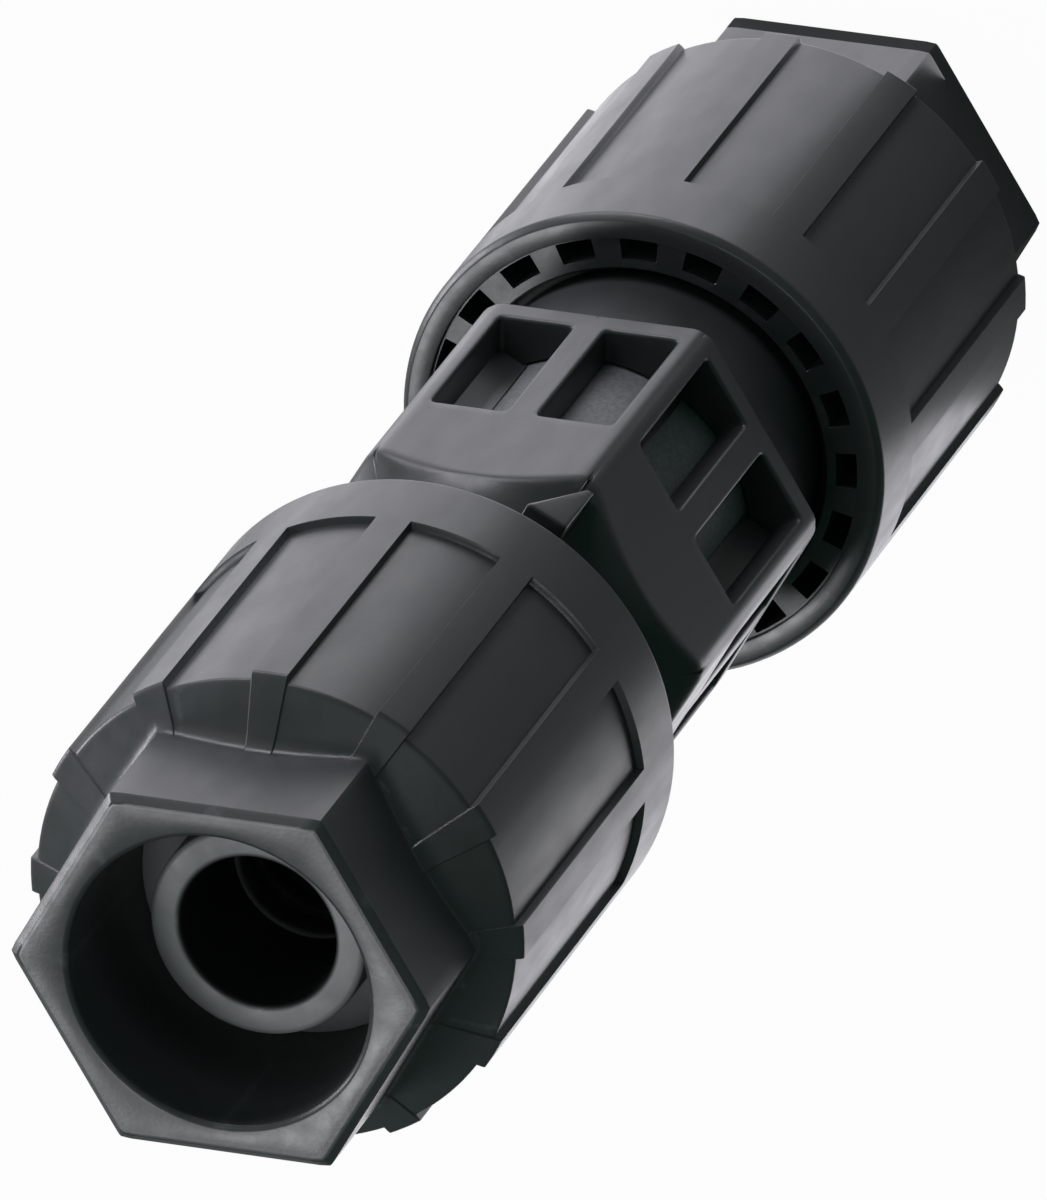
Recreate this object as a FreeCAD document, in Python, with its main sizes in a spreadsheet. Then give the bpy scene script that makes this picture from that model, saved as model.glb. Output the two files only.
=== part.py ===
"""Inline circular cable connector: a hexagonal centre housing with a screwed cable gland at each end.

The connector stands on the end face of its lower nut. The origin is the centre of that face, and Z
runs up along the axis. Both ends hold the same pieces. An end piece is drawn where it lies in the
lower end, so that Z is its depth from the outer face, and the upper end is the lower one turned over.
"""
import FreeCAD
import Part

import os
import re

import Sketcher

Vector = FreeCAD.Vector
Rotation = FreeCAD.Rotation
Placement = FreeCAD.Placement

# Driving dimensions in millimetres and degrees, and counts

DIMENSIONS = {
    # Union nut, measured in depth from its outer end face and in steps of radius
    "nut_length": 39.5,
    "mouth_step": 1.8,
    "mouth_depth": 13.5,
    "mouth_chamfer": 0.3,
    "hexagon_wall": 2.1,
    "hexagon_chamfer": 0.5,
    "cone_end": 10.6,
    "cone_length": 2.0,
    "panel_depth": 0.5,
    "rib_count": 12,
    "rib_width": 2.4,
    "rib_rise": 0.45,
    "band_width": 6.0,
    "band_chamfer": 0.4,
    "band_wall": 1.7,
    "land_step": 0.6,
    "recess_margin": 0.2,
    "recess_depth": 0.4,
    "notch_count": 20,
    "notch_inner_wall": 0.8,
    "notch_height": 1.3,
    "notch_width": 2.4,
    "notch_depth": 6.5,
    # Centre housing
    "neck_radius": 11.6,
    "neck_wall": 1.2,
    "neck_end_gap": 1.0,
    "neck_end_chamfer": 0.3,
    "lower_neck_gap": 7.3,
    "upper_neck_gap": 8.4,
    "flats_length": 24.3,
    "flats_step": 1.1,
    "flats_corner_cut": 0.31,
    "flats_cone_slope": 1.1,
    "window_length": 13.0,
    "window_edge": 1.9,
    "window_rib": 2.1,
    "window_corner": 1.28,
    "tongue_width": 3.0,
    "tongue_heel": 0.5,
    "tongue_angle": 63.0,
    "tongue_thickness": 1.8,
    "tongue_root": 1.0,
    "tongue_gap": 0.2,
    # Seal rings on the necks
    "ring_section_radius": 0.5,
    "ring_inset": 2.5,
    "ring_land_margin": 1.0,
    # Contact carrier and contacts
    "carrier_gap": 1.5,
    "contact_count": 5,
    "contact_inset": 4.3,
    "contact_width": 3.4,
    "contact_thickness": 0.8,
    "contact_rest_gap": 0.5,
    "shoulder_width": 4.6,
    "shoulder_length": 3.0,
    "fork_slot_width": 0.7,
    "fork_slot_depth": 4.5,
    "fork_lead": 0.6,
    # Pressure ring
    "nose_wall": 2.0,
    "nose_front": 7.2,
    "nose_chamfer": 0.4,
    "flange_thickness": 3.4,
    # Cable seal
    "seal_wall": 4.0,
    "seal_grip": 0.3,
    "seal_groove_depth": 0.5,
    "seal_groove_width": 1.2,
    # Clamping cage
    "cage_wall": 1.4,
    "cage_length": 8.5,
    "cage_floor": 1.0,
    "cage_hole_margin": 0.5,
    "slit_count": 8,
    "slit_width": 1.2,
    "slit_length": 6.0,
    # Splice ring
    "splice_length": 7.0,
    "wire_hole_radius": 1.4,
    "wire_hole_inset": 2.8,
    "wire_hole_tilt": 40.0,
    "fork_end_gap": 0.6,
    # Motion and clearances
    "screw_travel": 4.5,
    "thread_clearance": 0.1,
    "slide_clearance": 0.1,
    "flange_clearance": 0.18,
    "face_clearance": 0.1,
    "seal_clearance": 0.1,
    "contact_clearance": 0.05,
    "fork_clearance": 0.15,
    "land_clearance": 0.1,
}

# Hexagons have six sides, and a cut runs this far past the face that it starts or ends at
SIDES = 6
CUT_MARGIN = 1.0

# Places that follow from the driving dimensions

CHAMBER_RADIUS = "(neck_radius + thread_clearance)"
MOUTH_RADIUS = f"({CHAMBER_RADIUS} - mouth_step)"
NUT_APOTHEM = f"({MOUTH_RADIUS} + hexagon_wall)"
LAND_RADIUS = f"({CHAMBER_RADIUS} + land_step)"
NOTCH_INNER = f"({LAND_RADIUS} + notch_inner_wall)"
NOTCH_OUTER = f"({NOTCH_INNER} + notch_height)"
RECESS_RADIUS = f"({NOTCH_OUTER} + recess_margin)"
BAND_RADIUS = f"({RECESS_RADIUS} + band_wall)"
PANEL_RADIUS = f"({BAND_RADIUS} - panel_depth)"
PANEL_END = "(nut_length - band_width)"
CONE_START = "(cone_end - cone_length)"
CONE_FOOT_RADIUS = f"(({MOUTH_RADIUS} + {NUT_APOTHEM}) / 2)"
LAND_LENGTH = "(ring_inset + screw_travel + ring_section_radius + ring_land_margin)"

FLANGE_TOP = "(mouth_depth + face_clearance)"
FLANGE_END = f"({FLANGE_TOP} + flange_thickness)"
CAGE_END = f"({FLANGE_END} + cage_length)"
SPLICE_END = f"({CAGE_END} + splice_length)"
CONTACT_TIP = f"({SPLICE_END} + contact_rest_gap)"
CARRIER_FACE = f"({SPLICE_END} + screw_travel + carrier_gap)"
NECK_END = f"({FLANGE_END} + screw_travel + neck_end_gap)"

NECK_BORE = "(neck_radius - neck_wall)"
SLIDE_RADIUS = f"({NECK_BORE} - slide_clearance)"
CAGE_INNER = f"({SLIDE_RADIUS} - cage_wall)"
SEAL_RADIUS = f"({CAGE_INNER} - seal_clearance)"
SEAL_BORE = f"({SEAL_RADIUS} - seal_wall)"
CABLE_BORE = f"({SEAL_BORE} + seal_grip)"
CONTACT_CIRCLE = f"({SLIDE_RADIUS} - contact_inset)"
RING_RADIUS = f"({LAND_RADIUS} - land_clearance - ring_section_radius)"
RING_DEPTH = "(nut_length - ring_inset)"

FLATS_BOTTOM = "(nut_length + lower_neck_gap)"
FLATS_TOP = f"({FLATS_BOTTOM} + flats_length)"
FLATS_APOTHEM = "(neck_radius + flats_step)"
CORNER_REACH = f"({FLATS_APOTHEM} / cos({180 / SIDES}))"
CORNER_RADIUS = f"({CORNER_REACH} - flats_corner_cut)"
FLATS_CONE_END = f"({FLATS_TOP} + flats_step * flats_cone_slope)"
OVERALL = f"({FLATS_TOP} + upper_neck_gap + nut_length)"
MIDDLE = f"({OVERALL} / 2)"
TONGUE_TIP = "(nut_length - recess_depth + screw_travel + tongue_gap)"
TONGUE_OUTER = f"({RECESS_RADIUS} - 2 * tongue_gap)"

doc = FreeCAD.newDocument("circular_connector")
sheet = doc.addObject("Spreadsheet::Sheet", "Dims")
for row, (alias, value) in enumerate(DIMENSIONS.items(), start=1):
    sheet.set(f"A{row}", alias)
    sheet.set(f"B{row}", str(value))
    sheet.setAlias(f"B{row}", alias)
doc.recompute()

sub_parts = []


def value_of(formula):
    """Give the number that a formula in the names of sizes stands for."""
    return float(sheet.evalExpression(formula))


def bind(thing, target, formula):
    """Tie a property or a sketch constraint to a formula in the names of sizes."""
    thing.setExpression(target, re.sub(r"\b([a-z]+(?:_[a-z]+)+)\b", r"Dims.\1", formula))


# Sketches


def new_sketch(body, name, plane, height=None, turn=None):
    """Start a sketch on one of the body's own planes, moved along its normal or turned about its Y."""
    sketch = body.newObject("Sketcher::SketchObject", name)
    support = [item for item in body.Origin.OriginFeatures if item.Role == plane][0]
    sketch.AttachmentSupport = [(support, "")]
    sketch.MapMode = "FlatFace"
    if turn is not None:
        sketch.AttachmentOffset = Placement(Vector(0, 0, 0), Rotation(Vector(0, 1, 0), value_of(turn)))
        bind(sketch, "AttachmentOffset.Rotation.Angle", turn)
    if height is not None:
        bind(sketch, "AttachmentOffset.Base.z", height)
    return sketch


def hold_point(sketch, geometry, corner, along_x, formula):
    """Hold one coordinate of a point at a formula, on the axis itself where the formula is zero."""
    value = value_of(formula)
    if abs(value) < 1e-9:
        sketch.addConstraint(Sketcher.Constraint("PointOnObject", geometry, corner, -2 if along_x else -1))
        return
    kind = "DistanceX" if along_x else "DistanceY"
    ends = (-1, 1, geometry, corner) if value > 0 else (geometry, corner, -1, 1)
    index = sketch.addConstraint(Sketcher.Constraint(kind, *ends, abs(value)))
    bind(sketch, f"Constraints[{index}]", formula if value > 0 else f"-({formula})")


def draw_outline(sketch, corners):
    """Draw a closed outline of straight lines whose corners are pairs of formulas."""
    places = [Vector(value_of(x), value_of(y), 0) for x, y in corners]
    first = sketch.GeometryCount
    count = len(places)
    for number, place in enumerate(places):
        sketch.addGeometry(Part.LineSegment(place, places[(number + 1) % count]), False)
    for number in range(count):
        follower = first + (number + 1) % count
        sketch.addConstraint(Sketcher.Constraint("Coincident", first + number, 2, follower, 1))
    for number, (x, y) in enumerate(corners):
        hold_point(sketch, first + number, 1, True, x)
        hold_point(sketch, first + number, 1, False, y)


def draw_circle(sketch, radius):
    """Draw a circle about the sketch's origin."""
    index = sketch.addGeometry(Part.Circle(Vector(0, 0, 0), Vector(0, 0, 1), value_of(radius)), False)
    sketch.addConstraint(Sketcher.Constraint("Coincident", index, 3, -1, 1))
    held = sketch.addConstraint(Sketcher.Constraint("Radius", index, value_of(radius)))
    bind(sketch, f"Constraints[{held}]", radius)


def rectangle(left, right, low, high):
    """Give the corners of an upright rectangle."""
    return [(left, low), (right, low), (right, high), (left, high)]


def hexagon(apothem):
    """Give the corners of a hexagon with a corner on the X axis."""
    step = 360 / SIDES
    reach = f"{apothem} / cos({step / 2})"
    return [(f"{reach} * cos({step * k})", f"{reach} * sin({step * k})") for k in range(SIDES)]


def turned_rectangle(inner, outer, low, high, angle):
    """Give the corners of a rectangle that lies along a radius at an angle, from low to high beside it."""
    corners = []
    for reach, aside in ((inner, low), (outer, low), (outer, high), (inner, high)):
        corners.append((f"({reach}) * cos({angle}) - ({aside}) * sin({angle})",
                        f"({reach}) * sin({angle}) + ({aside}) * cos({angle})"))
    return corners


# Features


def new_body(label):
    """Start a sub-part whose label names its file."""
    body = doc.addObject("PartDesign::Body", label)
    body.Label = label
    sub_parts.append(body)
    return body


def finish_feature(body, feature, removes):
    """Recompute, and make sure that a cut took material away and anything else added some."""
    earlier = body.Shape.Volume if body.Shape and not body.Shape.isNull() else 0.0
    doc.recompute()
    change = body.Shape.Volume - earlier
    if (change >= 0) if removes else (change <= 0):
        raise RuntimeError(f"{feature.Label} changed the volume of {body.Label} by {change:.3f}")
    return feature


def revolve(body, name, corners):
    """Turn a profile of radius and depth into a solid about Z."""
    sketch = new_sketch(body, name + "_profile", "XZ_Plane")
    draw_outline(sketch, corners)
    feature = body.newObject("PartDesign::Revolution", name)
    feature.Profile = sketch
    feature.ReferenceAxis = (sketch, ["V_Axis"])
    feature.Angle = 360
    return finish_feature(body, feature, False)


def groove(body, name, outlines, angle=None, turn=None):
    """Cut profiles of radius and depth all round, or over an angle to both sides of a turned plane."""
    sketch = new_sketch(body, name + "_profile", "XZ_Plane", turn=turn)
    for corners in outlines:
        draw_outline(sketch, corners)
    feature = body.newObject("PartDesign::Groove", name)
    feature.Profile = sketch
    feature.ReferenceAxis = (sketch, ["V_Axis"])
    feature.Angle = 360
    if angle is not None:
        feature.Midplane = True
        feature.Angle = value_of(angle)
        bind(feature, "Angle", angle)
    return finish_feature(body, feature, True)


def pad(body, name, sketch, length, reverse=False, taper=None):
    """Add a sketch's outline, raised by a length."""
    feature = body.newObject("PartDesign::Pad", name)
    feature.Profile = sketch
    bind(feature, "Length", length)
    feature.Reversed = reverse
    if taper is not None:
        feature.TaperAngle = taper
    return finish_feature(body, feature, False)


def widen(body, name, first, last):
    """Add the solid whose straight sides join two outlines at two heights."""
    feature = body.newObject("PartDesign::AdditiveLoft", name)
    feature.Profile = first
    feature.Sections = [last]
    feature.Ruled = True
    return finish_feature(body, feature, False)


def pocket(body, name, sketch, length, reverse=False):
    """Cut a sketch's outline to a depth."""
    feature = body.newObject("PartDesign::Pocket", name)
    feature.Profile = sketch
    bind(feature, "Length", length)
    feature.Reversed = reverse
    return finish_feature(body, feature, True)


def repeat_round(body, feature, count, removes=True):
    """Repeat a feature evenly about Z."""
    pattern = body.newObject("PartDesign::PolarPattern", feature.Label + "_all_round")
    pattern.Originals = [feature]
    axis = [item for item in body.Origin.OriginFeatures if item.Role == "Z_Axis"][0]
    pattern.Axis = (axis, [""])
    pattern.Angle = 360
    pattern.Occurrences = int(value_of(count))
    bind(pattern, "Occurrences", count)
    body.Tip = pattern
    return finish_feature(body, pattern, removes)


def place_end(piece, upper):
    """Leave a piece in the lower end, or turn it over into the upper end."""
    if upper:
        piece.Placement = Placement(Vector(0, 0, value_of(OVERALL)), Rotation(Vector(1, 0, 0), 180))
        bind(piece, "Placement.Base.z", OVERALL)


# Union nut: a hexagon for a 24 mm spanner, a cone, twelve long grip ribs and a plain band at the rim


def cone_depth(radius, rise="0"):
    """Give the depth of the nut's cone at a radius, or of the ribs that rise above it."""
    slope = f"cone_length / ({PANEL_RADIUS} - {NUT_APOTHEM})"
    return f"({CONE_START} - {rise} + ({radius} - {NUT_APOTHEM}) * {slope})"


def make_union_nut(label, upper):
    nut = new_body(label)
    rib_foot = cone_depth(CONE_FOOT_RADIUS, "rib_rise")
    revolve(nut, label + "_shell", [
        ("0", rib_foot),
        (CONE_FOOT_RADIUS, rib_foot),
        (BAND_RADIUS, cone_depth(BAND_RADIUS, "rib_rise")),
        (BAND_RADIUS, "nut_length - band_chamfer"),
        (f"{BAND_RADIUS} - band_chamfer", "nut_length"),
        ("0", "nut_length"),
    ])
    outside = f"{BAND_RADIUS} + {CUT_MARGIN}"
    in_front = f"{rib_foot} - {CUT_MARGIN}"
    rib_angle = f"2 * asin(rib_width / 2 / {BAND_RADIUS}) / 1 deg"
    panel = groove(nut, label + "_panel", [[
        (CONE_FOOT_RADIUS, in_front),
        (outside, in_front),
        (outside, PANEL_END),
        (PANEL_RADIUS, PANEL_END),
        (PANEL_RADIUS, "cone_end"),
        (CONE_FOOT_RADIUS, cone_depth(CONE_FOOT_RADIUS)),
    ]], angle=f"360 / rib_count - {rib_angle}", turn="180 / rib_count")
    repeat_round(nut, panel, "rib_count")

    front = new_sketch(nut, label + "_front", "XY_Plane")
    draw_outline(front, hexagon(f"({NUT_APOTHEM} - hexagon_chamfer)"))
    pad(nut, label + "_front_edge", front, "hexagon_chamfer", taper=45)
    flats = new_sketch(nut, label + "_flats", "XY_Plane", height="hexagon_chamfer")
    draw_outline(flats, hexagon(NUT_APOTHEM))
    pad(nut, label + "_hexagon", flats, "cone_end - hexagon_chamfer")

    before = f"-{CUT_MARGIN}"
    beyond = f"nut_length + {CUT_MARGIN}"
    land_start = f"nut_length - {LAND_LENGTH}"
    recess_start = "nut_length - recess_depth"
    groove(nut, label + "_bore", [[
        ("0", before),
        (f"{MOUTH_RADIUS} + mouth_chamfer", before),
        (f"{MOUTH_RADIUS} + mouth_chamfer", "0"),
        (MOUTH_RADIUS, "mouth_chamfer"),
        (MOUTH_RADIUS, "mouth_depth"),
        (CHAMBER_RADIUS, "mouth_depth"),
        (CHAMBER_RADIUS, land_start),
        (LAND_RADIUS, land_start),
        (LAND_RADIUS, recess_start),
        (RECESS_RADIUS, recess_start),
        (RECESS_RADIUS, beyond),
        ("0", beyond),
    ]])
    notch = new_sketch(nut, label + "_notch_outline", "XY_Plane", height="nut_length")
    draw_outline(notch, rectangle(NOTCH_INNER, NOTCH_OUTER, "-notch_width / 2", "notch_width / 2"))
    first_notch = pocket(nut, label + "_notch", notch, "notch_depth")
    repeat_round(nut, first_notch, "notch_count")
    place_end(nut, upper)


# Pressure ring: the flange under the nut's shoulder, with the nose that shows in the nut's mouth


def make_pressure_ring(label, upper):
    ring = new_body(label)
    nose = f"{CABLE_BORE} + nose_wall"
    revolve(ring, label + "_solid", [
        (f"{CABLE_BORE} + nose_chamfer", "nose_front"),
        (f"{nose} - nose_chamfer", "nose_front"),
        (nose, "nose_front + nose_chamfer"),
        (nose, FLANGE_TOP),
        (f"{CHAMBER_RADIUS} - flange_clearance", FLANGE_TOP),
        (f"{CHAMBER_RADIUS} - flange_clearance", FLANGE_END),
        (CABLE_BORE, FLANGE_END),
        (CABLE_BORE, "nose_front + nose_chamfer"),
    ])
    place_end(ring, upper)


# Cable seal: a soft sleeve with two grooves in its bore


def make_cable_seal(label, upper):
    seal = new_body(label)
    top = f"({FLANGE_END} + seal_clearance)"
    end = f"({CAGE_END} - cage_floor - seal_clearance)"
    corners = [(SEAL_RADIUS, top), (SEAL_RADIUS, end), (SEAL_BORE, end)]
    for share in ("2 / 3", "1 / 3"):
        middle = f"{top} + ({end} - {top}) * {share}"
        corners += [
            (SEAL_BORE, f"{middle} + seal_groove_width / 2"),
            (f"{SEAL_BORE} + seal_groove_depth", middle),
            (SEAL_BORE, f"{middle} - seal_groove_width / 2"),
        ]
    corners.append((SEAL_BORE, top))
    revolve(seal, label + "_sleeve", corners)
    place_end(seal, upper)


# Clamping cage: a cup round the seal, slit into fingers from its outer end


def make_clamping_cage(label, upper):
    cage = new_body(label)
    floor_top = f"{CAGE_END} - cage_floor"
    hole = f"{CABLE_BORE} + cage_hole_margin"
    revolve(cage, label + "_cup", [
        (hole, floor_top),
        (CAGE_INNER, floor_top),
        (CAGE_INNER, FLANGE_END),
        (SLIDE_RADIUS, FLANGE_END),
        (SLIDE_RADIUS, CAGE_END),
        (hole, CAGE_END),
    ])
    outline = new_sketch(cage, label + "_slit_outline", "XY_Plane", height=FLANGE_END)
    draw_outline(outline, rectangle(f"{CAGE_INNER} - cage_wall / 2", f"{SLIDE_RADIUS} + {CUT_MARGIN}",
                                    "-slit_width / 2", "slit_width / 2"))
    slit = pocket(cage, label + "_slit", outline, "slit_length", reverse=True)
    repeat_round(cage, slit, "slit_count")
    place_end(cage, upper)


# Splice ring: guides the wires outwards at a slant, across the slots that the contact forks enter


def make_splice_ring(label, upper):
    ring = new_body(label)
    disc = new_sketch(ring, label + "_disc_outline", "XY_Plane", height=CAGE_END)
    draw_circle(disc, SLIDE_RADIUS)
    pad(ring, label + "_disc", disc, "splice_length")

    fork = new_sketch(ring, label + "_fork_outline", "XY_Plane", height=SPLICE_END)
    half_thick = "contact_thickness / 2 + fork_clearance"
    half_wide = "contact_width / 2 + fork_clearance"
    inner = f"{CONTACT_CIRCLE} - ({half_thick})"
    outer = f"{CONTACT_CIRCLE} + {half_thick}"
    draw_outline(fork, rectangle(inner, outer, f"-({half_wide})", half_wide))
    reach = "screw_travel - contact_rest_gap + fork_end_gap"
    fork_slot = pocket(ring, label + "_fork_slot", fork, reach)
    repeat_round(ring, fork_slot, "contact_count")

    hole = ring.newObject("PartDesign::SubtractiveCylinder", label + "_wire_hole")
    support = [item for item in ring.Origin.OriginFeatures if item.Role == "XY_Plane"][0]
    hole.AttachmentSupport = [(support, "")]
    hole.MapMode = "FlatFace"
    tilt = Rotation(Vector(0, 1, 0), value_of("wire_hole_tilt"))
    hole.AttachmentOffset = Placement(Vector(0, 0, 0), tilt)
    bind(hole, "AttachmentOffset.Rotation.Angle", "wire_hole_tilt")
    back = "wire_hole_radius * 2"
    start = f"{CONTACT_CIRCLE} - wire_hole_inset"
    bind(hole, "AttachmentOffset.Base.x", f"{start} - {back} * sin(wire_hole_tilt)")
    bind(hole, "AttachmentOffset.Base.z", f"{CAGE_END} - {back} * cos(wire_hole_tilt)")
    bind(hole, "Radius", "wire_hole_radius")
    bind(hole, "Height", f"{back} + (splice_length + {SLIDE_RADIUS}) / cos(wire_hole_tilt)")
    finish_feature(ring, hole, True)
    repeat_round(ring, hole, "contact_count")
    place_end(ring, upper)


# Seal ring: lies in a groove of the neck and seals against the nut's rim


def make_seal_ring(label, upper):
    ring = doc.addObject("Part::Torus", label)
    ring.Label = label
    bind(ring, "Radius1", RING_RADIUS)
    bind(ring, "Radius2", "ring_section_radius")
    bind(ring, "Placement.Base.z", f"{OVERALL} - {RING_DEPTH}" if upper else RING_DEPTH)
    sub_parts.append(ring)


# Centre housing: a hexagon with two windows in each flat, a neck at each end and two ratchet tongues


def add_tongue(housing, name, angle, root, tip, heel):
    """Add a ratchet tongue, a wedge that widens from a narrow heel in the hexagon to its tip."""
    inner = f"{TONGUE_OUTER} - tongue_thickness"
    heel_outline = new_sketch(housing, name + "_heel_outline", "XY_Plane", height=root)
    draw_outline(heel_outline, turned_rectangle(inner, TONGUE_OUTER, *heel, angle))
    tip_outline = new_sketch(housing, name + "_tip_outline", "XY_Plane", height=tip)
    sides = ("-tongue_width / 2", "tongue_width / 2")
    draw_outline(tip_outline, turned_rectangle(inner, TONGUE_OUTER, *sides, angle))
    widen(housing, name, heel_outline, tip_outline)


def make_centre_housing():
    housing = new_body("centre_housing")
    upper_end = f"({OVERALL} - {NECK_END})"
    chamfered = "neck_radius - neck_end_chamfer"
    revolve(housing, "housing_necks", [
        ("0", NECK_END),
        (chamfered, NECK_END),
        ("neck_radius", f"{NECK_END} + neck_end_chamfer"),
        ("neck_radius", f"{upper_end} - neck_end_chamfer"),
        (chamfered, upper_end),
        ("0", upper_end),
    ])
    flats = new_sketch(housing, "housing_flats", "XY_Plane", height=FLATS_BOTTOM)
    draw_outline(flats, hexagon(FLATS_APOTHEM))
    pad(housing, "housing_hexagon", flats, f"{FLATS_CONE_END} - {FLATS_BOTTOM}")
    outside = f"{CORNER_REACH} + {CUT_MARGIN}"
    below = f"{FLATS_BOTTOM} - {CUT_MARGIN}"
    groove(housing, "housing_corners", [[
        (CORNER_RADIUS, below),
        (outside, below),
        (outside, FLATS_CONE_END),
        ("neck_radius", FLATS_CONE_END),
        (CORNER_RADIUS, f"{FLATS_TOP} - ({CORNER_RADIUS} - {FLATS_APOTHEM}) * flats_cone_slope"),
    ]])

    upper_heel = ("-tongue_width / 2", "tongue_heel - tongue_width / 2")
    lower_heel = ("tongue_width / 2 - tongue_heel", "tongue_width / 2")
    add_tongue(housing, "upper_tongue", "tongue_angle", f"{FLATS_TOP} - tongue_root",
               f"{OVERALL} - {TONGUE_TIP}", upper_heel)
    add_tongue(housing, "lower_tongue", "(tongue_angle + 180)", f"{FLATS_BOTTOM} + tongue_root",
               TONGUE_TIP, lower_heel)

    ends = (f"{NECK_END} - {CUT_MARGIN}", f"{upper_end} + {CUT_MARGIN}")
    groove(housing, "housing_bore", [rectangle("0", NECK_BORE, *ends)])
    seat = f"{RING_RADIUS} - ring_section_radius - contact_clearance"
    half = "ring_section_radius + seal_clearance"
    past = f"neck_radius + {CUT_MARGIN}"
    seats = []
    for middle in (RING_DEPTH, f"({OVERALL} - {RING_DEPTH})"):
        seats.append(rectangle(seat, past, f"{middle} - ({half})", f"{middle} + {half}"))
    groove(housing, "housing_ring_seats", seats)

    windows = new_sketch(housing, "window_outlines", "XZ_Plane")
    low = f"{FLATS_BOTTOM} + window_edge"
    high = f"{low} + window_length"
    near = "window_rib / 2"
    far = f"{CORNER_REACH} / 2 - window_corner"
    draw_outline(windows, rectangle(near, far, low, high))
    draw_outline(windows, rectangle(f"-({far})", f"-{near}", low, high))
    window = pocket(housing, "window_pair", windows, f"{FLATS_APOTHEM} + {CUT_MARGIN}")
    repeat_round(housing, window, str(SIDES))


# Contact carrier: one half of the insulating core, which meets the other half at mid height


def make_contact_carrier(label, upper):
    carrier = new_body(label)
    length = f"{MIDDLE} - {CARRIER_FACE}"
    outline = new_sketch(carrier, label + "_outline", "XY_Plane", height=CARRIER_FACE)
    draw_circle(outline, SLIDE_RADIUS)
    pad(carrier, label + "_core", outline, length)

    half_thick = "contact_thickness / 2 + contact_clearance"
    inner = f"{CONTACT_CIRCLE} - ({half_thick})"
    outer = f"{CONTACT_CIRCLE} + {half_thick}"
    half_wide = "contact_width / 2 + contact_clearance"
    slot_outline = new_sketch(carrier, label + "_slot_outline", "XY_Plane", height=CARRIER_FACE)
    draw_outline(slot_outline, rectangle(inner, outer, f"-({half_wide})", half_wide))
    slot = pocket(carrier, label + "_slot", slot_outline, f"{length} + {CUT_MARGIN}", reverse=True)
    repeat_round(carrier, slot, "contact_count")

    half_shoulder = "shoulder_width / 2 + contact_clearance"
    seat_outline = new_sketch(carrier, label + "_seat_outline", "XY_Plane", height=MIDDLE)
    draw_outline(seat_outline, rectangle(inner, outer, f"-({half_shoulder})", half_shoulder))
    seat = pocket(carrier, label + "_seat", seat_outline, "shoulder_length / 2 + contact_clearance")
    repeat_round(carrier, seat, "contact_count")
    place_end(carrier, upper)


# Contacts: flat metal bars with a cutting fork at each end and shoulders that the carriers trap


def make_contact(number):
    contact = new_body(f"fork_contact_{number + 1}")
    name = contact.Label
    inner_face = f"{CONTACT_CIRCLE} - contact_thickness / 2"
    outline = new_sketch(contact, name + "_outline", "YZ_Plane", height=inner_face)
    low = CONTACT_TIP
    high = f"({OVERALL} - {CONTACT_TIP})"
    side = "contact_width / 2"
    shoulder = "shoulder_width / 2"
    slot = "fork_slot_width / 2"
    lip = f"{slot} + fork_lead"
    half_outline = [
        (slot, f"{low} + fork_slot_depth"),
        (slot, f"{low} + fork_lead"),
        (lip, low),
        (side, low),
        (side, f"{MIDDLE} - shoulder_length / 2"),
        (shoulder, f"{MIDDLE} - shoulder_length / 2"),
        (shoulder, f"{MIDDLE} + shoulder_length / 2"),
        (side, f"{MIDDLE} + shoulder_length / 2"),
        (side, high),
        (lip, high),
        (slot, f"{high} - fork_lead"),
        (slot, f"{high} - fork_slot_depth"),
    ]
    mirrored = [(f"-({x})", y) for x, y in reversed(half_outline)]
    draw_outline(outline, half_outline + mirrored)
    pad(contact, name + "_bar", outline, "contact_thickness")
    angle = f"{number} * 360 / contact_count"
    contact.Placement = Placement(Vector(0, 0, 0), Rotation(Vector(0, 0, 1), value_of(angle)))
    bind(contact, "Placement.Rotation.Angle", angle)


# Build every piece, check the document and write the files

make_centre_housing()
for contact_number in range(int(value_of("contact_count"))):
    make_contact(contact_number)
for end_name in ("lower", "upper"):
    in_upper_end = end_name == "upper"
    make_contact_carrier(end_name + "_contact_carrier", in_upper_end)
    make_union_nut(end_name + "_union_nut", in_upper_end)
    make_pressure_ring(end_name + "_pressure_ring", in_upper_end)
    make_cable_seal(end_name + "_cable_seal", in_upper_end)
    make_clamping_cage(end_name + "_clamping_cage", in_upper_end)
    make_splice_ring(end_name + "_splice_ring", in_upper_end)
    make_seal_ring(end_name + "_seal_ring", in_upper_end)
doc.recompute()

for item in doc.Objects:
    if "Invalid" in item.State or "Error" in item.State:
        raise RuntimeError(f"{item.Label} failed: {item.State}")
for piece in sub_parts:
    if piece.Shape.isNull() or not piece.Shape.isValid():
        raise RuntimeError(f"{piece.Label} has no valid shape")

os.makedirs("parts", exist_ok=True)
for piece in sub_parts:
    piece.Shape.exportStep(os.path.join("parts", piece.Label + ".step"))
    print(f"{piece.Label}: {piece.Shape.Volume:.1f} cubic mm, {len(piece.Shape.Solids)} solid")
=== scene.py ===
"""Looks of the circular connector: dressed shells, finishes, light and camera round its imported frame.

Sizes are in millimetres, which MILLIMETRE turns into the scene's metres. A depth is measured inwards from
the lower end face, and an upper piece is its lower twin turned half round the X axis.
"""

import logging
import math
from dataclasses import dataclass
from enum import Enum

import bmesh
import bpy
import numpy as np
from mathutils import Matrix, Vector

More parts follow.
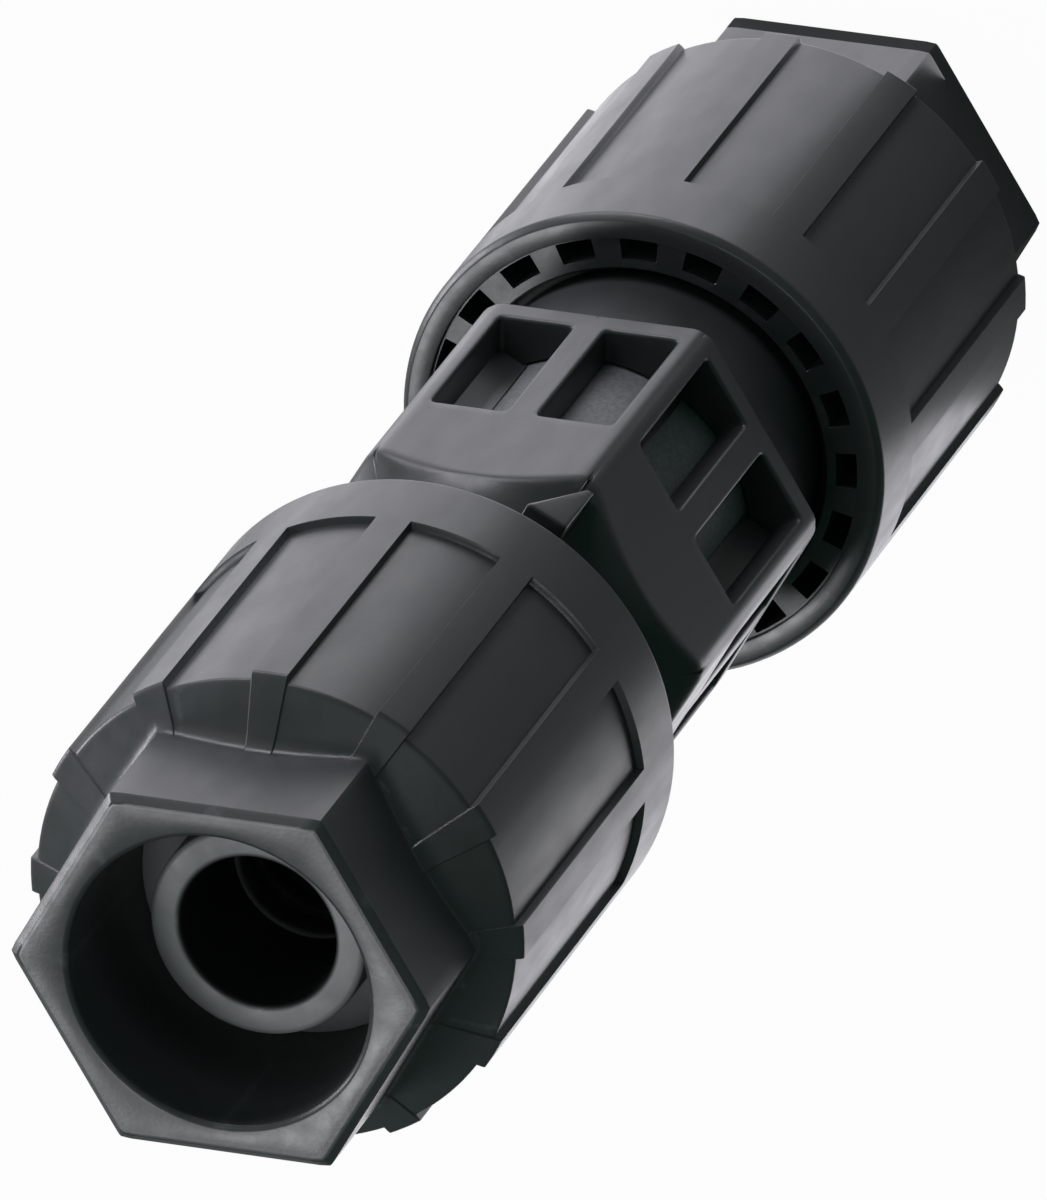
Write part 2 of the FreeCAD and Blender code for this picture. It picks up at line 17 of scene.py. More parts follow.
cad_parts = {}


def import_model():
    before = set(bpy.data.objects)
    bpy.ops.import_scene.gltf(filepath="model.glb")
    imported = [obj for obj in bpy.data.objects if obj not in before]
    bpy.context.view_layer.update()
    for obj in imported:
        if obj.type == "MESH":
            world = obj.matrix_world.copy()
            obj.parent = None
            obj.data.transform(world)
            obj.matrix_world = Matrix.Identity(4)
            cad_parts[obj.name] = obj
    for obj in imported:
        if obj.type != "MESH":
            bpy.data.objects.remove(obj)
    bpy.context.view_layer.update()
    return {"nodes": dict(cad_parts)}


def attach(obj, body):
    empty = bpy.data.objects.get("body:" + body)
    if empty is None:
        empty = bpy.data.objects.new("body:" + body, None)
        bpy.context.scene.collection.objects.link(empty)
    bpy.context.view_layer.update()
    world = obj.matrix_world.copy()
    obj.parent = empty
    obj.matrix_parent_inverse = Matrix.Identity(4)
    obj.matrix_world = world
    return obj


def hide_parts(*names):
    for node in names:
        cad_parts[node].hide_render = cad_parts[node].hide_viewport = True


MILLIMETRE = 0.001
OVERALL_LENGTH = 119.0
SHARP_ANGLE = math.radians(32)
MERGE_DISTANCE = 0.002 * MILLIMETRE

log = logging.getLogger("circular_connector")


class End(Enum):
    """The connector's two ends."""

    LOWER = "lower"
    UPPER = "upper"

    def place(self, points: np.ndarray) -> np.ndarray:
        """Keep a lower end's points, or turn them into the upper end: (x, -y, overall length - z)."""
        return points if self is End.LOWER else points * (1, -1, -1) + (0, 0, OVERALL_LENGTH)


class Slot(Enum):
    """The record's material slots."""

    SHELL = "shell_plastic"
    RING = "ring_plastic"
    CARRIER = "carrier_plastic"
    SEAL = "seal_rubber"
    CONTACT = "contact_metal"


# Arrays and meshes


def smooth_step(value: np.ndarray, start: float, end: float) -> np.ndarray:
    """Rise from 0 at start to 1 at end as t * t * (3 - 2 t), where t is the share of the way.

    Args:
        value: Where to work the curve out.
        start: Last value at which the curve is 0.
        end: First value at which the curve is 1.

    Returns:
        The curve's height at each value.
    """
    share = np.clip((value - start) / (end - start), 0, 1)
    return share * share * (3 - 2 * share)


def smooth_max(first: np.ndarray, second: np.ndarray, reach: float) -> np.ndarray:
    """Take the larger of two values, and fill the crease between them like a fillet.

    Where they differ by less than reach, the result is raised by reach / 4 times the square of
    1 - |difference| / reach.

    Args:
        first: One surface's values.
        second: The other surface's values.
        reach: Difference at which the fillet ends.

    Returns:
        The filled larger value.
    """
    near = np.clip(1 - np.abs(first - second) / reach, 0, 1)
    return np.maximum(first, second) + near * near * reach / 4


def smooth_min(first: np.ndarray, second: np.ndarray, reach: float) -> np.ndarray:
    """Take the smaller of two values, and round the edge between them as smooth_max fills a crease."""
    return -smooth_max(-first, -second, reach)


def round_corners(corners: np.ndarray, reach: np.ndarray, steps: int) -> np.ndarray:
    """Round each corner of a closed outline.

    The corner P gives way to the curve (1 - t)^2 A + 2 t (1 - t) P + t^2 B, where A and B lie at the
    corner's reach from P on its two sides.

    Args:
        corners: The outline's corners, one pair a row.
        reach: How far each corner's curve starts from it.
        steps: Points on each curve.

    Returns:
        The rounded outline's points, one pair a row.
    """
    before, after = np.roll(corners, 1, axis=0) - corners, np.roll(corners, -1, axis=0) - corners
    start = corners + before / np.linalg.norm(before, axis=1, keepdims=True) * reach[:, None]
    end = corners + after / np.linalg.norm(after, axis=1, keepdims=True) * reach[:, None]
    t = np.linspace(0, 1, steps)[None, :, None]
    curve = (1 - t) ** 2 * start[:, None] + 2 * t * (1 - t) * corners[:, None] + t**2 * end[:, None]
    return curve.reshape(-1, 2)


def polar(radius: np.ndarray, angle: np.ndarray, depth: np.ndarray) -> np.ndarray:
    """Turn radius, angle in degrees and depth into points: (r cos a, r sin a, depth)."""
    turn = np.radians(angle)
    return np.stack(np.broadcast_arrays(radius * np.cos(turn), radius * np.sin(turn), depth), axis=-1)


def grid_quads(rows: int, columns: int, closed_rows: bool, closed_columns: bool) -> np.ndarray:
    """Join the points of a grid into four-sided faces.

    Args:
        rows: Number of rows of points.
        columns: Number of points in a row.
        closed_rows: Whether the last row joins the first one.
        closed_columns: Whether a row's last point joins its first one.

    Returns:
        Four point numbers for each face.
    """
    row = np.arange(rows if closed_rows else rows - 1)[:, None]
    column = np.arange(columns if closed_columns else columns - 1)[None, :]
    next_row, next_column = (row + 1) % rows, (column + 1) % columns
    corners = (
        row * columns + column,
        row * columns + next_column,
        next_row * columns + next_column,
        next_row * columns + column,
    )
    return np.stack(corners, axis=-1).reshape(-1, 4)


def signed_volume(points: np.ndarray, quads: np.ndarray) -> float:
    """Give six times the volume inside the faces: the sum of a . (b x c) over their triangles.

    Args:
        points: The surface's points.
        quads: Four point numbers for each face.

    Returns:
        The sum, which is positive where the faces point outwards.
    """
    a, b, c, d = (points[quads[:, k]] for k in range(4))
    return float(np.einsum("ij,ij->", a, np.cross(b, c)) + np.einsum("ij,ij->", a, np.cross(c, d)))


@dataclass
class Surface:
    """Points in millimetres, and the faces that join them."""

    points: np.ndarray
    quads: np.ndarray

    @classmethod
    def from_grid(cls, points: np.ndarray, closed_rows: bool, closed_columns: bool) -> "Surface":
        """Join a grid of points, rows by columns by three, into a surface.

        Args:
            points: The grid's points.
            closed_rows: Whether the last row joins the first one.
            closed_columns: Whether a row's last point joins its first one.

        Returns:
            The joined surface.
        """
        rows, columns = points.shape[:2]
        return cls(points.reshape(-1, 3), grid_quads(rows, columns, closed_rows, closed_columns))

    def flipped(self) -> "Surface":
        """Give the same surface with its faces turned over."""
        return Surface(self.points, self.quads[:, ::-1])

    def joined(self, *others: "Surface") -> "Surface":
        """Put surfaces together, each one's point numbers following the last one's.

        Args:
            *others: The surfaces that follow this one.

        Returns:
            The surface of them all.
        """
        parts = (self, *others)
        starts = np.cumsum([0] + [len(part.points) for part in parts[:-1]])
        quads = np.concatenate([part.quads + start for part, start in zip(parts, starts)])
        return Surface(np.concatenate([part.points for part in parts]), quads)

    def make(self, name: str, material: bpy.types.Material) -> bpy.types.Object:
        """Make the surface's object, with faces outwards, doubled points merged and edges marked sharp.

        Args:
            name: The object's name.
            material: The finish that covers it.

        Returns:
            The object, at the origin.
        """
        outwards = self if signed_volume(self.points, self.quads) > 0 else self.flipped()
        mesh = bpy.data.meshes.new(name)
        mesh.from_pydata((outwards.points * MILLIMETRE).tolist(), [], outwards.quads.tolist())
        work = bmesh.new()
        work.from_mesh(mesh)
        bmesh.ops.remove_doubles(work, verts=work.verts, dist=MERGE_DISTANCE)
        work.to_mesh(mesh)
        work.free()
        mesh.shade_smooth()
        mesh.set_sharp_from_angle(angle=SHARP_ANGLE)
        mesh.materials.append(material)
        piece = bpy.data.objects.new(name, mesh)
        bpy.context.scene.collection.objects.link(piece)
        return piece


def turned(outline: np.ndarray, columns: int) -> Surface:
    """Turn a closed outline of radius and depth all round the axis.

    Args:
        outline: Radius and depth of each point of the outline.
        columns: Number of steps round the axis.

    Returns:
        The closed surface.
    """
    angle = np.linspace(0, 360, columns, endpoint=False)
    points = polar(outline[:, :1], angle[None, :], outline[:, 1:])
    return Surface.from_grid(points, True, True)


# Finishes


class NodeBench:
    """A material's node tree with short ways to add to it."""

    def __init__(self, name: str) -> None:
        """Start a material of that name, with its principled shader.

        Args:
            name: The material's name.
        """
        self.material = bpy.data.materials.new(name)
        self.material.use_nodes = True
        self.nodes = self.material.node_tree.nodes
        self.links = self.material.node_tree.links
        self.shader = self.nodes["Principled BSDF"]

    def add(self, kind: str, **inputs: object) -> bpy.types.Node:
        """Add a node and fill its inputs, where an underscore stands for a space.

        Args:
            kind: The node type's identifier.
            **inputs: A socket to link, or a value to set, for each input.

        Returns:
            The new node.
        """
        node = self.nodes.new(kind)
        for name, value in inputs.items():
            self.fill(node, name.replace("_", " "), value)
        return node

    def fill(self, node: bpy.types.Node, name: str, value: object) -> None:
        """Link a socket to an input, or set the input's own value.

        Args:
            node: The node that has the input.
            name: The input's name.
            value: A socket or a value.
        """
        if isinstance(value, bpy.types.NodeSocket):
            self.links.new(value, node.inputs[name])
        else:
            node.inputs[name].default_value = value

    def place(self, stretch: tuple[float, float, float] = (1.0, 1.0, 1.0)) -> bpy.types.NodeSocket:
        """Give the point on the object, stretched along its axes.

        Args:
            stretch: Factor along each axis.

        Returns:
            The stretched point.
        """
        mapping = self.add("ShaderNodeMapping", Scale=stretch)
        self.links.new(self.nodes.new("ShaderNodeTexCoord").outputs["Object"], mapping.inputs["Vector"])
        return mapping.outputs["Vector"]

    def from_axis(self) -> bpy.types.NodeSocket:
        """Give the distance from the connector's axis: the length of the point with its z left out.

        Returns:
            The distance in millimetres.
        """
        node = self.add("ShaderNodeVectorMath", Vector=self.place((1 / MILLIMETRE, 1 / MILLIMETRE, 0.0)))
        node.operation = "LENGTH"
        return node.outputs["Value"]

    def noise(self, place: bpy.types.NodeSocket, size: float, detail: float = 2.0) -> bpy.types.NodeSocket:
        """Give a noise whose features are about size millimetres wide."""
        node = self.add("ShaderNodeTexNoise", Vector=place, Scale=1 / (size * MILLIMETRE), Detail=detail)
        return node.outputs["Factor" if "Factor" in node.outputs else "Fac"]

    def spread(
        self, value: bpy.types.NodeSocket, source: tuple[float, float], result: tuple[float, float]
    ) -> bpy.types.NodeSocket:
        """Map one range of values onto another.

        Args:
            value: What is mapped.
            source: The range that it comes from.
            result: The range that it goes to.

        Returns:
            The mapped value.
        """
        (source_low, source_high), (result_low, result_high) = source, result
        node = self.add("ShaderNodeMapRange", Value=value, From_Min=source_low, From_Max=source_high,
                        To_Min=result_low, To_Max=result_high)
        return node.outputs["Result"]

    def blend(self, share: bpy.types.NodeSocket, first: object, second: object) -> bpy.types.NodeSocket:
        """Mix two colours by a share.

        Args:
            share: 0 for the first colour, 1 for the second.
            first: A colour or a socket.
            second: A colour or a socket.

        Returns:
            The mixed colour.
        """
        node = self.nodes.new("ShaderNodeMix")
        node.data_type = "RGBA"
        self.links.new(share, node.inputs["Factor"])
        for socket, value in ((node.inputs[6], first), (node.inputs[7], second)):
            if isinstance(value, bpy.types.NodeSocket):
                self.links.new(value, socket)
            else:
                socket.default_value = (*value, 1.0)
        return node.outputs[2]

    def times(self, first: bpy.types.NodeSocket, second: bpy.types.NodeSocket) -> bpy.types.NodeSocket:
        """Multiply two values.

        Args:
            first: One value.
            second: The other value.

        Returns:
            Their product.
        """
        node = self.nodes.new("ShaderNodeMath")
        node.operation = "MULTIPLY"
        self.links.new(first, node.inputs[0])
        self.links.new(second, node.inputs[1])
        return node.outputs[0]

    def bump(
        self, height: bpy.types.NodeSocket, rise: float, strength: float,
        under: bpy.types.NodeSocket | None = None,
    ) -> bpy.types.NodeSocket:
        """Raise the surface by a height pattern.

        Args:
            height: The pattern, from 0 to 1.
            rise: Millimetres from the pattern's lowest to its highest.
            strength: Share of the bump that is kept.
            under: The normal of a coarser bump below this one.

        Returns:
            The new normal.
        """
        node = self.add("ShaderNodeBump", Height=height, Distance=rise * MILLIMETRE, Strength=strength)
        if under is not None:
            self.links.new(under, node.inputs["Normal"])
        return node.outputs["Normal"]


Colour = tuple[float, float, float]
# Painted shade: a near-black colour laid over a bore to stand for the shade inside it.
BORE_PAINTED_SHADE: Colour = (0.012, 0.013, 0.013)


@dataclass(frozen=True)
class MouldedPlastic:
    """Satin moulded plastic with a fine spark-eroded grain, faint flow patches and edges rubbed lighter."""

    name: str
    dark: Colour
    light: Colour
    worn: Colour
    roughness: tuple[float, float] = (0.33, 0.41)
    grain_size: float = 0.3
    grain_rise: float = 0.012
    patch_size: float = 12.0
    specular: float = 0.5
    # Painted shade darkens what lies within this radius of the axis, and fades out over the next field's
    # width.
    painted_shade_radius: float = 0.0
    painted_shade_fade: float = 0.3
    patch_range: tuple[float, float] = (0.32, 0.68)
    ripple_stretch: tuple[float, float, float] = (1.0, 1.0, 0.35)
    ripple_size: float = 1.6
    ripple_rise: float = 0.01
    ripple_range: tuple[float, float] = (0.3, 0.7)
    worn_pointiness: tuple[float, float] = (0.53, 0.62)
    worn_grain: tuple[float, float] = (0.35, 0.65)
    worn_share: tuple[float, float] = (0.2, 0.7)

    def make(self) -> bpy.types.Material:
        """Build the node material.

        Wear is where the surface's pointiness is high, times the grain. Painted shade, where there is some,
        darkens what lies within its radius of the connector's axis, such as a bore that the lamps' light
        doesn't reach.

        Returns:
            The material.
        """
        bench = NodeBench(self.name)
        place = bench.place()
        patches = bench.noise(place, self.patch_size, 3.0)
        grain = bench.noise(place, self.grain_size, 3.0)
        ripple = bench.noise(bench.place(self.ripple_stretch), self.ripple_size, 2.0)
        tone = bench.blend(bench.spread(patches, self.patch_range, (0.0, 1.0)), self.dark, self.light)
        pointiness = bench.nodes.new("ShaderNodeNewGeometry").outputs["Pointiness"]
        edge = bench.spread(pointiness, self.worn_pointiness, (0.0, 1.0))
        rubbed = bench.times(edge, bench.spread(grain, self.worn_grain, self.worn_share))
        colour = bench.blend(rubbed, tone, self.worn)
        # Painted shade: darken the bore near the axis, where the lamps' light doesn't reach.
        if self.painted_shade_radius > 0:
            faded_radius = self.painted_shade_radius + self.painted_shade_fade
            painted_shade = bench.spread(bench.from_axis(), (self.painted_shade_radius, faded_radius), (1.0, 0.0))
            colour = bench.blend(painted_shade, colour, BORE_PAINTED_SHADE)
        bench.fill(bench.shader, "Base Color", colour)
        bench.fill(bench.shader, "Roughness", bench.spread(ripple, self.ripple_range, self.roughness))
        coarse = bench.bump(ripple, self.ripple_rise, 0.35)
        bench.fill(bench.shader, "Normal", bench.bump(grain, self.grain_rise, 0.5, coarse))
        bench.fill(bench.shader, "Specular IOR Level", self.specular)
        return bench.material


@dataclass(frozen=True)
class SealRubber:
    """Soft black rubber with a dusty bloom and a fine ground surface."""

    name: str = "seal_rubber_soft_black"
    dark: Colour = (0.010, 0.010, 0.011)
    bloom: Colour = (0.035, 0.034, 0.033)
    roughness: tuple[float, float] = (0.62, 0.8)
    dust_size: float = 1.8
    pore_size: float = 0.12
    pore_rise: float = 0.008
    specular: float = 0.35

    def make(self) -> bpy.types.Material:
        """Build the node material, whose dust makes the colour lighter and the gloss duller.

        Returns:
            The material.
        """
        bench = NodeBench(self.name)
        place = bench.place()
        dust = bench.noise(place, self.dust_size, 4.0)
        pores = bench.noise(place, self.pore_size, 2.0)
        tone = bench.blend(bench.spread(dust, (0.4, 0.7), (0.0, 1.0)), self.dark, self.bloom)
        bench.fill(bench.shader, "Base Color", tone)
        bench.fill(bench.shader, "Roughness", bench.spread(dust, (0.3, 0.7), self.roughness))
        bench.fill(bench.shader, "Normal", bench.bump(pores, self.pore_rise, 0.6))
        bench.fill(bench.shader, "Specular IOR Level", self.specular)
        return bench.material


@dataclass(frozen=True)
class TinnedBrass:
    """Stamped brass under a thin tin plating, with the grain drawn along the bar."""

    name: str = "contact_tinned_brass"
    plating: Colour = (0.62, 0.61, 0.58)
    brass: Colour = (0.60, 0.47, 0.24)
    roughness: tuple[float, float] = (0.28, 0.42)
    drawn_stretch: tuple[float, float, float] = (6.0, 6.0, 0.4)
    drawn_rise: float = 0.004
    thin_size: float = 2.5

    def make(self) -> bpy.types.Material:
        """Build the node material, in which brass shows where the plating is thin.

        Returns:
            The material.
        """
        bench = NodeBench(self.name)
        drawn = bench.noise(bench.place(self.drawn_stretch), 1.0, 3.0)
        thin = bench.noise(bench.place(), self.thin_size, 3.0)
        tone = bench.blend(bench.spread(thin, (0.55, 0.75), (0.0, 1.0)), self.plating, self.brass)
        bench.fill(bench.shader, "Base Color", tone)
        bench.fill(bench.shader, "Metallic", 1.0)
        bench.fill(bench.shader, "Roughness", bench.spread(drawn, (0.3, 0.7), self.roughness))
        bench.fill(bench.shader, "Normal", bench.bump(drawn, self.drawn_rise, 0.5))
        return bench.material


SHELL_PLASTIC = MouldedPlastic(
    "shell_satin_charcoal", (0.031, 0.033, 0.034), (0.037, 0.038, 0.040), (0.075, 0.077, 0.082)
)
# The ring's bore, within 5.2 mm of the axis, is darkened with painted shade.
RING_PLASTIC = MouldedPlastic(
    "ring_grey_nylon", (0.100, 0.104, 0.106), (0.122, 0.126, 0.129), (0.32, 0.325, 0.335), (0.45, 0.58),
    0.3, 0.006, 5.0, painted_shade_radius=5.2,
)
CARRIER_PLASTIC = MouldedPlastic(
    "carrier_grey_nylon", (0.10, 0.103, 0.108), (0.135, 0.138, 0.145), (0.22, 0.225, 0.235), (0.46, 0.6),
    0.3, 0.006, 5.0,
)


# Union nut


WALL_STEPS = np.array([-2.6, -1.5, -1.0, -0.5, 0, 0.5, 1.0, 1.5, 2.6])
RIM_EDGE = np.array([[0.0, -1.2], [0.04, -1.04], [0.14, -0.86], [0.86, -0.14], [1.04, -0.04], [1.2, 0.0]])


@dataclass
class UnionNut:
    """The nut: rounded hexagon, cone, twelve ribs between sunk panels, plain band, and a rim with notches."""

    end: End
    apothem: float = 12.0
    corner_power: float = 120.0
    front_chamfer: float = 0.5
    cone_start: float = 8.6
    cone_slope: float = 1.9
    crease_fillet: float = 0.9
    panel_radius: float = 15.8
    rib_radius: float = 16.3
    rib_advance: float = 0.15
    rib_count: int = 12
    rib_half_angle: float = 4.22
    wall_half_angle: float = 0.2
    band_start: float = 33.5
    wall_half_width: float = 0.06
    length: float = 39.5
    rim_chamfer: float = 0.4
    face_guard: float = 0.12
    notch_count: int = 20
    notch_half_angle: float = 5.0
    notch_radii: tuple[float, float] = (13.1, 14.4)
    notch_floor: float = 33.0
    recess_radius: float = 14.6
    recess_floor: float = 39.1
    land_radius: float = 12.3
    land_start: float = 31.0
    chamber_radius: float = 11.7
    shoulder: float = 13.5
    mouth_radius: float = 9.9
    mouth_chamfer: float = 0.3
    least_step: float = 0.06
    edge_fillet: float = 0.25

    def angles(self) -> np.ndarray:
        """Give the columns' angles: even steps, with close ones at each rib's and each notch's sides.

        Returns:
            The angles in degrees, from 0 to 360.
        """
        even = np.arange(0, 360, 2.5)
        sides = np.array([-1, 1])
        ribs = np.arange(self.rib_count) * 360 / self.rib_count
        notches = np.arange(self.notch_count) * 360 / self.notch_count
        rib = np.add.outer(ribs, sides * self.rib_half_angle)
        notch = np.add.outer(notches, sides * self.notch_half_angle)
        lip = np.array([-0.45, -0.12, 0.12, 0.45])
        close = [np.add.outer(rib, self.wall_half_angle * WALL_STEPS), np.add.outer(notch, lip)]
        every = np.concatenate([even, *(angles.ravel() for angles in close)]) % 360
        every = np.unique(np.round(every, 3))
        return every[np.append(np.diff(every) > self.least_step, True)]

    def outer_radius(self, angle: np.ndarray, depth: np.ndarray) -> np.ndarray:
        """Give the outside's radius.

        The hexagon is apothem / (sum over its flats of cos(angle from the flat) ^ power) ^ (1 / power),
        which rounds its corners. The cone is a line in radius and depth, cut off at the panels' radius, and
        the ribs' one starts earlier and ends higher. A mask, 1 on ribs and band, goes from one to the
        other, and the larger of hexagon and body counts, with a fillet between them.

        Args:
            angle: Angle round the axis in degrees.
            depth: Depth from the end face.

        Returns:
            The radius.
        """
        flats = np.radians(angle[..., None] - (30 + 60 * np.arange(6)))
        sides = np.clip(np.cos(flats), 0, None) ** self.corner_power
        front = np.clip(self.front_chamfer - depth, 0, None)
        hexagon = (self.apothem - front) / sides.sum(axis=-1) ** (1 / self.corner_power)
        along = self.apothem + (depth - self.cone_start) * self.cone_slope
        advanced = along + self.rib_advance * self.cone_slope
        panel = smooth_min(along, np.full_like(along, self.panel_radius), self.edge_fillet)
        raised = smooth_min(advanced, np.full_like(along, self.rib_radius), self.edge_fillet)
        pitch = 360 / self.rib_count
        off_rib = np.abs((angle + pitch / 2) % pitch - pitch / 2) - self.rib_half_angle
        on_rib = 1 - smooth_step(off_rib, -self.wall_half_angle, self.wall_half_angle)
        on_band = smooth_step(depth - self.band_start, -self.wall_half_width, self.wall_half_width)
        mask = 1 - (1 - on_rib) * (1 - on_band)
        return smooth_max(hexagon, panel + (raised - panel) * mask, self.crease_fillet)

    def outside(self, angle: np.ndarray) -> tuple[np.ndarray, np.ndarray]:
        """Give radius and depth of the outside's rows, from the end face's edge to the rim.

        Two rows on the end face, close to its edge, keep the edge's wear off the face.

        Args:
            angle: The columns' angles.

        Returns:
            Radius and depth, rows by columns.
        """
        depth = np.concatenate([
            [0.0, 0.03, 0.1, 0.28, 0.45, 0.52, 0.6, 0.75, 2.0, 4.0, 6.0, 7.2],
            np.arange(7.6, 11.01, 0.085),
            [11.3, 12.5, 15.0, 19.0, 23.0, 27.0, 31.0, 32.8],
            self.band_start + self.wall_half_width * WALL_STEPS,
            [34.4, 36.5, 38.4, 38.9],
        ])
        radius = self.outer_radius(angle[None, :], depth[:, None])
        radius[0] -= self.face_guard
        edge = self.rim_chamfer * RIM_EDGE
        rim_radius = np.broadcast_to(self.rib_radius - edge[:, :1], (len(edge), len(angle)))
        rim_depth = np.broadcast_to(self.length + edge[:, 1:], rim_radius.shape)
        depth = np.broadcast_to(depth[:, None], radius.shape)
        face_radius = radius[:1] - self.face_guard * np.array([[3.0], [1.0]])
        radius = np.concatenate([face_radius, radius, rim_radius])
        return radius, np.concatenate([np.zeros_like(face_radius), depth, rim_depth])

    def rim(self, angle: np.ndarray) -> tuple[np.ndarray, np.ndarray]:
        """Give radius and depth of the rows over the rim's recess, which sink into the notches.

        Outside a notch the rows lie on the recess floor. Inside, a mask of the angle takes them down to the
        notch's floor and onto its two walls.

        Args:
            angle: The columns' angles.

        Returns:
            Radius and depth, rows by columns.
        """
        pitch = 360 / self.notch_count
        off_notch = np.abs((angle + pitch / 2) % pitch - pitch / 2) - self.notch_half_angle
        inside = (1 - smooth_step(off_notch, -0.1, 0.1))[None, :]
        inner, outer = self.notch_radii
        past, before = outer + 0.06, inner - 0.06
        flat = np.array([past, outer - 0.1, outer - 0.3, inner + 0.3, inner + 0.1, before])[:, None]
        wall = np.array([past, outer, outer, inner, inner, before])[:, None]
        sink = np.array([0.0, 0.06, 1.0, 1.0, 0.06, 0.0])[:, None] * (self.recess_floor - self.notch_floor)
        return flat + (wall - flat) * inside, self.recess_floor - sink * inside

    def surface(self) -> Surface:
        """Join outside, rim and inside into one closed surface in the lower end.

        Returns:
            The closed surface.
        """
        angle = self.angles()
        outside, rim = self.outside(angle), self.rim(angle)
        lip = np.array([
            [self.recess_radius + 0.12, self.length], [self.recess_radius + 0.03, self.length - 0.03],
            [self.recess_radius, self.length - 0.12], [self.recess_radius, self.recess_floor],
        ])
        mouth, flared = self.mouth_radius, self.mouth_radius + self.mouth_chamfer
        inside = np.array([
            [self.land_radius + 0.15, self.recess_floor], [self.land_radius, self.recess_floor - 0.15],
            [self.land_radius, self.land_start], [self.chamber_radius, self.land_start],
            [self.chamber_radius, self.shoulder], [mouth, self.shoulder],
            [mouth, self.mouth_chamfer + 0.06], [mouth + 0.06, self.mouth_chamfer - 0.06],
            [flared - 0.05, 0.05], [flared + 0.08, 0.0],
        ])
        rows = [outside, self.even(lip, angle), rim, self.even(inside, angle)]
        radius, depth = (np.concatenate([row[k] for row in rows]) for k in (0, 1))
        return Surface.from_grid(polar(radius, angle[None, :], depth), True, True)

    @staticmethod
    def even(outline: np.ndarray, angle: np.ndarray) -> tuple[np.ndarray, np.ndarray]:
        """Carry an outline's radius and depth unchanged to every column."""
        shape = (len(outline), len(angle))
        return np.broadcast_to(outline[:, :1], shape), np.broadcast_to(outline[:, 1:], shape)

    def build(self, material: bpy.types.Material) -> bpy.types.Object:
        """Make the nut, which stands for its CAD node and turns with its body.

        Args:
            material: The nut's finish.

        Returns:
            The nut.
        """
        surface = self.surface()
        surface.points = self.end.place(surface.points)
        end = self.end.value
        nut = surface.make(f"{end}_nut_shell", material)
        return stand_for(nut, f"{end}_nut", f"{end}_union_nut")


def stand_for(piece: bpy.types.Object, body: str, node: str) -> bpy.types.Object:
    """Let a piece ride on a body in place of a CAD node.

    Args:
        piece: The dressed piece.
        body: The body that carries it.
        node: The CAD node that it stands for.

    Returns:
        The same piece.
    """
    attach(piece, body)
    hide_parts(node)
    log.info("%s: %d faces", piece.name, len(piece.data.polygons))
    return piece


# Centre housing


